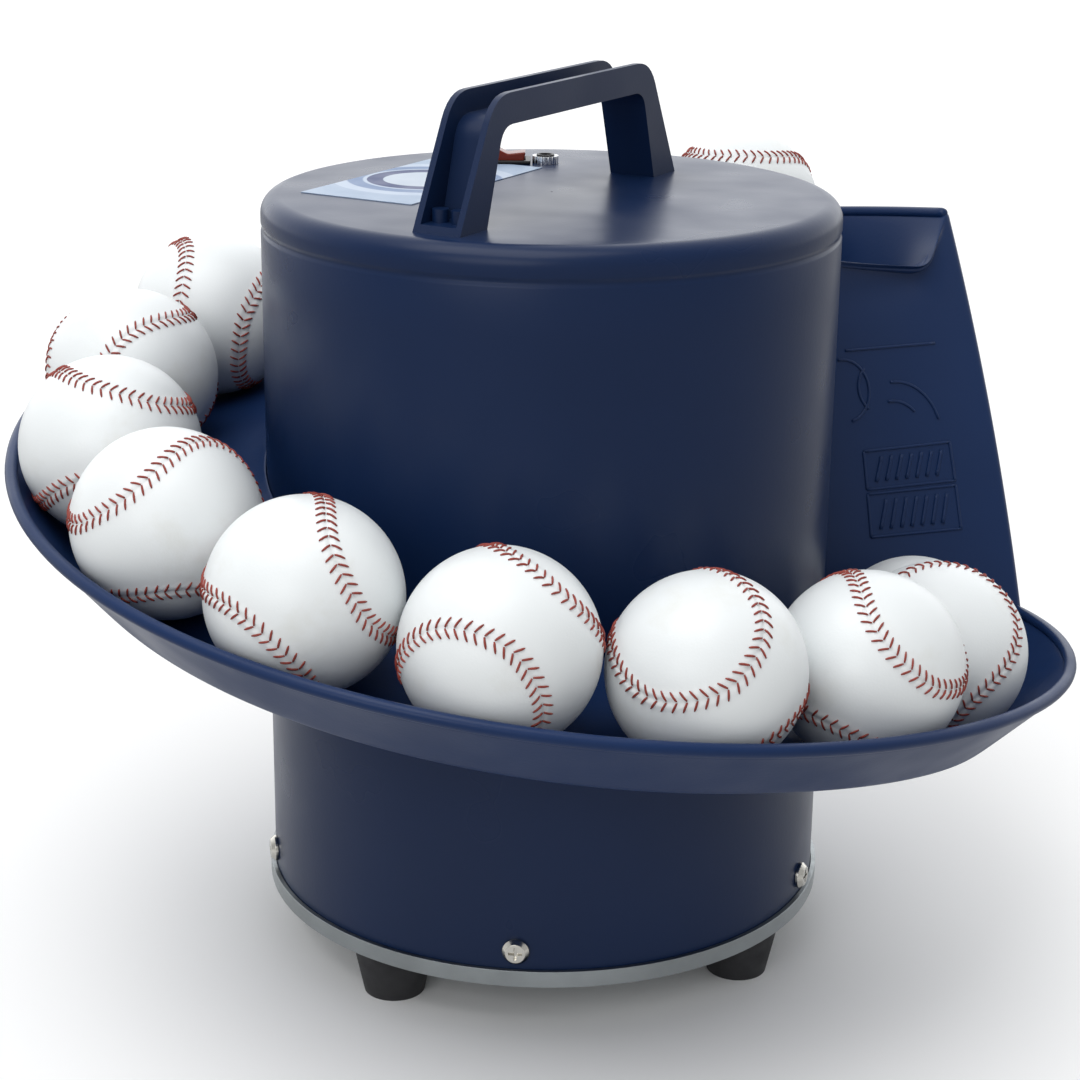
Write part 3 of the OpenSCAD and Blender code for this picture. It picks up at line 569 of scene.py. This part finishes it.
def build_drum():
    """Turned shell with a rounded top edge, a shallow bead and the slot for the toss arm."""
    edge_r = 0.0075
    wall = 0.003
    bead_drop, bead_r = 0.013, 0.0008
    low = drum_low.z
    rings = 14
    outer = [(DRUM_R, mix(low, DRUM_TOP - bead_drop - 0.002, i / rings)) for i in range(rings + 1)]
    bead = [(DRUM_R - bead_r * math.sin(math.pi * i / 6) ** 2, DRUM_TOP - bead_drop - 0.002 + 0.004 * i / 6)
            for i in range(1, 7)]
    edge = arc(DRUM_R - edge_r, DRUM_TOP - edge_r, edge_r, 0, 90, 10)
    top = [(mix(DRUM_R - edge_r, 0.0005, i / 12), DRUM_TOP) for i in range(1, 13)]
    under = [(0.0005, DRUM_TOP - wall), (DRUM_R - edge_r, DRUM_TOP - wall),
             (DRUM_R - wall, DRUM_TOP - edge_r)]
    inner = [(DRUM_R - wall, low)]
    points, faces = [], []
    lathe(points, faces, outer + bead + edge + top + under + inner, 200)
    drum = new_object("drum_shell", mesh_from("drum_shell", points, faces))
    cut(drum, *arm_slot())
    drum.data.polygons.foreach_set("use_smooth", [True] * len(drum.data.polygons))
    drum.data.set_sharp_from_angle(angle=math.radians(40))
    paint(drum, "shell_plastic")
    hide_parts("drum_cover")


def cut(obj, points, faces):
    """Cuts a closed shape out of an object and leaves it as a plain mesh."""
    cutter = new_object("cutter", mesh_from("cutter", points, faces), None, False)
    for solid in (obj, cutter):
        face_outwards(solid.data)
    modify(obj, "BOOLEAN", object=cutter, operation="DIFFERENCE", solver="FAST")
    apply_modifiers(obj)
    bpy.data.objects.remove(cutter)


def arm_slot():
    """Upright slot for the arm, from inside the drum out to the pocket, as points and faces."""
    half = 0.007
    points = [(x, y, z) for x in (DRUM_R - 0.02, POCKET_R) for y in (-half, half) for z in (0.078, 0.160)]
    return points, [(0, 1, 3, 2), (4, 6, 7, 5), (0, 4, 5, 1), (2, 3, 7, 6), (0, 2, 6, 4), (1, 5, 7, 3)]


def cup_opening():
    """Rounded hole in the pocket's floor, long enough for the cup's arc, as points and faces."""
    cup_low, cup_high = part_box("toss_cup")
    radius = (cup_high.y - cup_low.y) / 2 + 0.0025
    shift = 0.008
    steps = 32
    outline = arc(POCKET_R + shift, 0, radius, -90, 90, steps) + arc(POCKET_R, 0, radius, 90, 270, steps)
    low = POCKET.z - BALL_R - 0.02
    points = [(x, y, z) for z in (low, low + 0.04) for x, y in outline]
    n = len(outline)
    sides = [(i, (i + 1) % n, n + (i + 1) % n, n + i) for i in range(n)]
    return points, sides + [tuple(reversed(range(n))), tuple(range(n, 2 * n))]


# ---------- trough and end wall ----------


def face_back(r, z):
    """How far the end wall's face lies behind its plain twisted plane: the hollow under its rolled top."""
    across = min(1.0, max(0.0, (r - 0.135) / 0.07))
    valley = mix(0.2585, 0.264, across)
    width = mix(0.011, 0.007, across)
    return 0.0030 * math.exp(-((z - valley) / width) ** 2) * (1 - smooth((r - 0.195) / 0.02))


def along_ring(a):
    t = math.radians(a)
    return Vector((math.cos(t), math.sin(t), 0))


def face_point(r, z):
    a = wall_azimuth(z)
    return polar(r, a, z) + along_ring(a) * face_back(r, z)


def start_lift(r, distance):
    """The floor's crest where the balls are put in, against the distance from the end wall."""
    crest = 0.009 + 0.07 * max(0.0, r - 0.153)
    return crest * (1 - smooth(distance / 0.035)) * (1 - smooth((r - 0.204) / 0.014))


def trough_point(j, share):
    a = mix(HIGH[j], LOW[j], share)
    p = section(a)[j]
    lift = start_lift(p.x, math.radians(a - HIGH[j]) * p.x)
    return polar(p.x, a, p.y + lift)


def shares():
    """Row positions along the trough, close together at both ends."""
    middle_column = COLUMNS // 2
    length = math.radians(LOW[middle_column] - HIGH[middle_column]) * RING_R
    near = [0, 0.0022, 0.006, 0.012, 0.019, 0.028]
    steps = 78
    middle = [mix(0.04, length - 0.04, i / steps) for i in range(steps + 1)]
    rows = near + middle + [length - d for d in reversed(near)]
    return [r / length for r in rows]


def build_tray():
    """One moulded sheet: the trough round the drum, closed by the end wall that joins its two ends."""
    points, faces = [], []
    rows = shares()
    for share in rows:
        points += [trough_point(j, share) for j in range(COLUMNS)]
    last_row = len(rows) - 1
    for i in range(last_row):
        for j in range(COLUMNS - 1):
            a = i * COLUMNS + j
            faces.append((a, a + COLUMNS, a + COLUMNS + 1, a + 1))
    roll = [(0.0016, 0.0004), (0.0032, 0.0022), (0.0038, 0.0052), (0.0038, 0.0095)]
    heights = [0, 0.012, 0.03, 0.07, 0.12, 0.17, 0.25, 0.34, 0.43, 0.52, 0.61, 0.70,
               0.76, 0.81, 0.85, 0.88, 0.905, 0.93, 0.952, 0.97, 0.985, 1]
    high = [trough_point(j, 0) for j in range(COLUMNS)]
    low = [trough_point(j, 1) for j in range(COLUMNS)]
    grid = []
    for k, t in enumerate(heights):
        row = []
        for j in range(FOOT, COLUMNS):
            if k == 0:
                row.append(last_row * COLUMNS + j)
            elif k == len(heights) - 1:
                row.append(j)
            else:
                z = mix(low[j].z, high[j].z, t)
                r = mix(low[j].xy.length, high[j].xy.length, t)
                points.append(face_point(r, z))
                row.append(len(points) - 1)
        edge = points[row[-1]]
        for out, back in roll:
            a = azimuth(edge)
            points.append(edge + polar(out, a, 0) + along_ring(a) * back)
            row.append(len(points) - 1)
        grid.append(row)
    for k in range(len(heights) - 1):
        for j in range(len(grid[0]) - 1):
            faces.append((grid[k][j], grid[k + 1][j], grid[k + 1][j + 1], grid[k][j + 1]))
    tray = new_object("tray_shell", mesh_from("tray_shell", points, faces))
    bm = bmesh.new()
    bm.from_mesh(tray.data)
    bmesh.ops.recalc_face_normals(bm, faces=bm.faces)
    up = sum(f.normal.z for f in bm.faces if f.calc_center_median().z < 0.25)
    if up < 0:
        bmesh.ops.reverse_faces(bm, faces=bm.faces)
    bm.to_mesh(tray.data)
    bm.free()
    modify(tray, "SOLIDIFY", thickness=SHEET - 0.0004, offset=-1)
    modify(tray, "SUBSURF", levels=2, render_levels=2)
    apply_modifiers(tray)
    cut(tray, *arm_slot())
    cut(tray, *cup_opening())
    tray.data.polygons.foreach_set("use_smooth", [True] * len(tray.data.polygons))
    tray.data.set_sharp_from_angle(angle=math.radians(50))
    paint(tray, "tray_plastic")
    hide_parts("spiral_tray")


def build_lip():
    """Rolled bead along the trough's rim."""
    points, faces = [], []
    first, last = HIGH[-1] + 0.1, LOW[-1] + 0.3
    steps = 180
    turns = [first, first + 0.25, first + 0.7] + [mix(first + 1.5, last, i / steps) for i in range(steps + 1)]
    path = [polar(RIM_R - LIP_R, a, rim_height(a) - LIP_R) for a in turns]
    radii = [0.45 * LIP_R, 0.8 * LIP_R] + [LIP_R] * (len(turns) - 2)
    add_tube(points, faces, path, radii, 16, Vector((0, 0, 1)))
    lip = new_object("tray_lip", mesh_from("tray_lip", points, faces))
    paint(lip, "tray_plastic")


def build_emblem():
    """Raised line work on the end wall: a plain rule, a ball outline with its seam, and two barred frames."""
    points, faces = [], []
    bead = 0.0007

    def line(pairs, radius=bead):
        path = [face_point(r, z) for r, z in pairs]
        normal = along_ring(wall_azimuth(pairs[0][1]))
        add_tube(points, faces, path, radius, 8, normal)

    def straight(p, q, n=14):
        return [(mix(p[0], q[0], i / n), mix(p[1], q[1], i / n)) for i in range(n + 1)]

    line(straight((0.150, 0.2366), (0.199, 0.2352)))
    frames = ((0.1930, 0.1766), (0.1746, 0.1562))
    left, right = 0.1535, 0.1985
    for top, bottom in frames:
        corners = [(left, top), (right, top), (right, bottom), (left, bottom), (left, top)]
        for p, q in zip(corners, corners[1:]):
            line(straight(p, q))
        bars = 7
        for i in range(bars):
            x = mix(left + 0.005, right - 0.009, i / (bars - 1))
            line(straight((x, bottom + 0.003), (x + 0.004, top - 0.003), 6), 0.0009)
    line(arc(0.1465, 0.2195, 0.0135, -78, 95, 22))
    line(arc(0.1655, 0.2195, 0.011, 128, 232, 14), 0.0007)
    line(arc(0.1725, 0.1985, 0.0225, 92, 12, 20))
    line(arc(0.1705, 0.1975, 0.0155, 95, 40, 14), 0.0007)
    emblem = new_object("end_wall_relief", mesh_from("end_wall_relief", points, faces))
    paint(emblem, "tray_plastic")


# ---------- baseballs ----------

SEAM_BEND = 0.41


def seam_direction(t):
    """Unit vector along a baseball's seam, which closes after 4 pi."""
    tilt = math.pi / 2 - (math.pi / 2 - SEAM_BEND) * math.cos(t)
    turn = t / 2 + SEAM_BEND * math.sin(2 * t)
    return Vector((math.sin(tilt) * math.cos(turn), math.sin(tilt) * math.sin(turn), math.cos(tilt)))


def seam_stations(count):
    """Points at equal spacing along the seam, as (direction, direction along the seam)."""
    fine = [seam_direction(4 * math.pi * i / 2400) for i in range(2400)]
    lengths = [0.0]
    for i in range(2400):
        lengths.append(lengths[-1] + (fine[(i + 1) % 2400] - fine[i]).length)
    stations, k = [], 0
    for i in range(count):
        want = lengths[-1] * i / count
        while lengths[k + 1] < want:
            k += 1
        d = fine[k % 2400]
        stations.append((d, (fine[(k + 1) % 2400] - fine[k - 1]).normalized()))
    return stations


def ball_mesh():
    """Leather sphere with its seam pressed in between two raised edges."""
    bm = bmesh.new()
    bmesh.ops.create_cube(bm, size=2)
    bmesh.ops.subdivide_edges(bm, edges=bm.edges[:], cuts=39, use_grid_fill=True)
    seam = np.array([seam_direction(4 * math.pi * i / 700) for i in range(700)])
    co = np.array([v.co.normalized() for v in bm.verts])
    gap = np.full(len(co), 9.0)
    for start in range(0, 700, 100):
        gap = np.minimum(gap, np.arccos(np.clip(co @ seam[start:start + 100].T, -1, 1)).min(1))
    gap *= BALL_R
    ridge = 0.00042 * np.exp(-((gap - 0.0016) / 0.0013) ** 2)
    groove = 0.00055 * np.exp(-(gap / 0.0007) ** 2)
    radius = BALL_R - 0.0004 + ridge - groove
    for v, d, r in zip(bm.verts, co, radius):
        v.co = Vector(d) * r
    mesh = bpy.data.meshes.new("ball_cover")
    bm.to_mesh(mesh)
    bm.free()
    return mesh


def stitch_mesh():
    """Slanted stitches in V pairs along the seam."""
    points, faces = [], []
    count = 108
    reach, lean, radius = 0.0038, 0.0021, 0.00042
    for d, along in seam_stations(count):
        side = d.cross(along).normalized()
        for hand in (-1, 1):
            path = []
            for i in range(5):
                t = i / 4
                place = d * BALL_R + side * hand * mix(0.00025, reach, t) + along * lean * t
                lift = 0.00024 * math.sin(math.pi * min(1.0, t * 1.05)) - 0.0001
                path.append(place.normalized() * (BALL_R + lift))
            add_tube(points, faces, path, [radius * k for k in (0.7, 1, 1.05, 1, 0.55)], 6, d)
    return mesh_from("ball_stitches", points, faces)


# How each queued ball is turned, in degrees about x, y and z, from the pocket end upwards
BALL_TURNS = [(146, 22, -18), (-114, 57, 180), (-106, -58, -146), (49, -31, 52),
              (-70, 53, 39), (128, 68, -12), (-107, 18, 35), (106, -6, -37),
              (-74, -17, -179), (20, 40, 75), (75, 10, 130), (-9, -65, 58)]
POCKET_BALL_TURN = (80, 5, 35)


def build_balls():
    cover, stitches = ball_mesh(), stitch_mesh()
    for mesh in (cover, stitches):
        mesh.polygons.foreach_set("use_smooth", [True] * len(mesh.polygons))
    cover.materials.append(looks["ball_leather"])
    stitches.materials.append(thread_look)
    places = [("queue", "baseballs", center, turn) for center, turn in zip(queue, BALL_TURNS)]
    places.append(("tossed_ball", "toss_ball", POCKET, POCKET_BALL_TURN))
    for i, (body, node, center, turn) in enumerate(places):
        rotation = Euler([math.radians(v) for v in turn], "XYZ")
        matrix = Matrix.Translation(center) @ rotation.to_matrix().to_4x4()
        for kind, mesh in (("ball", cover), ("stitching", stitches)):
            obj = new_object(f"{kind}_{i:02d}", mesh, None, False)
            obj.matrix_world = matrix
            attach(obj, body)
            if kind == "ball":
                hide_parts(node)


# ---------- toss spring ----------


def build_spring():
    """Coil spring, built in the toss spring's place."""
    low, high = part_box("toss_spring")
    wire = 0.0009
    radius = (high.x - low.x) / 2 - wire
    middle = (low + high) / 2
    turns, steps = 22, 18
    path = []
    for i in range(turns * steps + 1):
        t = 2 * math.pi * i / steps
        z = mix(low.z + wire, high.z - wire, i / (turns * steps))
        path.append(Vector((middle.x + radius * math.cos(t), middle.y + radius * math.sin(t), z)))
    points, faces = [], []
    add_tube(points, faces, path, wire, 8, Vector((0, 0, 1)))
    spring = new_object("toss_coil", mesh_from("toss_coil", points, faces))
    paint(spring, "spring_steel")
    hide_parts("toss_spring")
    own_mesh(spring)


build_spring()
build_drum()
build_tray()
build_lip()
build_emblem()
build_balls()

for name, width in (("handle", 0.0012), ("switch_housing", 0.0006), ("switch_rocker", 0.0007),
                    ("jack_nut", 0.0002), ("base_pan", 0.0004), ("cover_screws", 0.0003),
                    ("toss_arm", 0.0006), ("battery", 0.0012), ("gearbox", 0.0008),
                    ("motor_bracket", 0.0004), ("pivot_bracket", 0.0004)):
    soften(nodes[name], width)

# ---------- stage ----------


def build_floor():
    size = 6
    points = [(-size, -size, 0), (size, -size, 0), (size, size, 0), (-size, size, 0)]
    floor = new_object("floor", mesh_from("floor", points, [(0, 1, 2, 3)]), None, False)
    look = Look("floor_paper", (0.9, 0.9, 0.9), 0.6)
    look.set("Specular IOR Level", 0.1)
    x, y, _ = look.split()
    away = look.math("SQRT", look.math("ADD", look.math("MULTIPLY", x, x), look.math("MULTIPLY", y, y)))
    look.set("Emission Color", (1, 1, 1, 1))
    seen = look.tree.nodes.new("ShaderNodeLightPath").outputs["Is Camera Ray"]
    glow = look.ramp(away, 0.12, 0.5, 0.0, 1.0)
    look.set("Emission Strength", look.math("MULTIPLY", glow, look.ramp(seen, 0, 1, 0.5, 1.0)))
    look.set("Base Color", look.blend(glow, (0.92, 0.92, 0.92), (0.05, 0.05, 0.05)))
    floor.data.materials.append(look.mat)


def build_world():
    """White to the camera; for the object, a pale room that is dimmer on the camera's side."""
    world = bpy.data.worlds.new("studio")
    bpy.context.scene.world = world
    world.use_nodes = True
    tree = world.node_tree
    tree.nodes.clear()
    output = tree.nodes.new("ShaderNodeOutputWorld")
    coords = tree.nodes.new("ShaderNodeTexCoord")
    split = tree.nodes.new("ShaderNodeSeparateXYZ")
    tree.links.new(coords.outputs["Generated"], split.inputs["Vector"])
    ramp = tree.nodes.new("ShaderNodeMapRange")
    for name, v in (("From Min", -0.2), ("From Max", 0.85), ("To Min", 0.5), ("To Max", 1.6)):
        ramp.inputs[name].default_value = v
    tree.links.new(split.outputs["Y"], ramp.inputs["Value"])
    room = tree.nodes.new("ShaderNodeBackground")
    room.inputs["Color"].default_value = (0.97, 0.985, 1, 1)
    tree.links.new(ramp.outputs["Result"], room.inputs["Strength"])
    white = tree.nodes.new("ShaderNodeBackground")
    white.inputs["Color"].default_value = (1, 1, 1, 1)
    path = tree.nodes.new("ShaderNodeLightPath")
    pick = tree.nodes.new("ShaderNodeMixShader")
    tree.links.new(path.outputs["Is Camera Ray"], pick.inputs["Fac"])
    tree.links.new(room.outputs["Background"], pick.inputs[1])
    tree.links.new(white.outputs["Background"], pick.inputs[2])
    tree.links.new(pick.outputs["Shader"], output.inputs["Surface"])


def softbox(name, place, target, size, power):
    light = bpy.data.lights.new(name, "AREA")
    light.shape = "RECTANGLE"
    light.size, light.size_y = size
    light.energy = power
    obj = bpy.data.objects.new(name, light)
    bpy.context.scene.collection.objects.link(obj)
    obj.location = place
    obj.rotation_euler = (Vector(target) - Vector(place)).to_track_quat("-Z", "Y").to_euler()


def build_camera():
    """Camera a little under a metre in front of the drum, looking down at it."""
    place = Vector((0, -0.9651, 0.4859))
    yaw, pitch, roll = -0.0032, 0.3171, 0.0123
    forward = Vector((math.sin(yaw) * math.cos(pitch), math.cos(yaw) * math.cos(pitch), -math.sin(pitch)))
    right = Vector((math.cos(yaw), -math.sin(yaw), 0))
    up = right.cross(forward)
    tilted_right = right * math.cos(roll) + up * math.sin(roll)
    tilted_up = up * math.cos(roll) - right * math.sin(roll)
    camera = bpy.data.cameras.new("camera")
    camera.sensor_width = 36
    camera.lens = 79.33
    camera.clip_start = 0.02
    obj = bpy.data.objects.new("camera", camera)
    bpy.context.scene.collection.objects.link(obj)
    axes = Matrix((tilted_right, tilted_up, -forward)).transposed().to_4x4()
    obj.matrix_world = Matrix.Translation(place) @ axes
    bpy.context.scene.camera = obj


build_floor()
build_world()
softbox("overhead", (-0.35, -0.5, 1.7), (0, 0, 0.15), (1.4, 1.2), 15)
softbox("front_fill", (-0.7, -1.7, 0.9), (0, 0, 0.15), (1.2, 0.9), 7)
build_camera()
bpy.context.scene.view_settings.view_transform = "Standard"

bpy.context.view_layer.update()
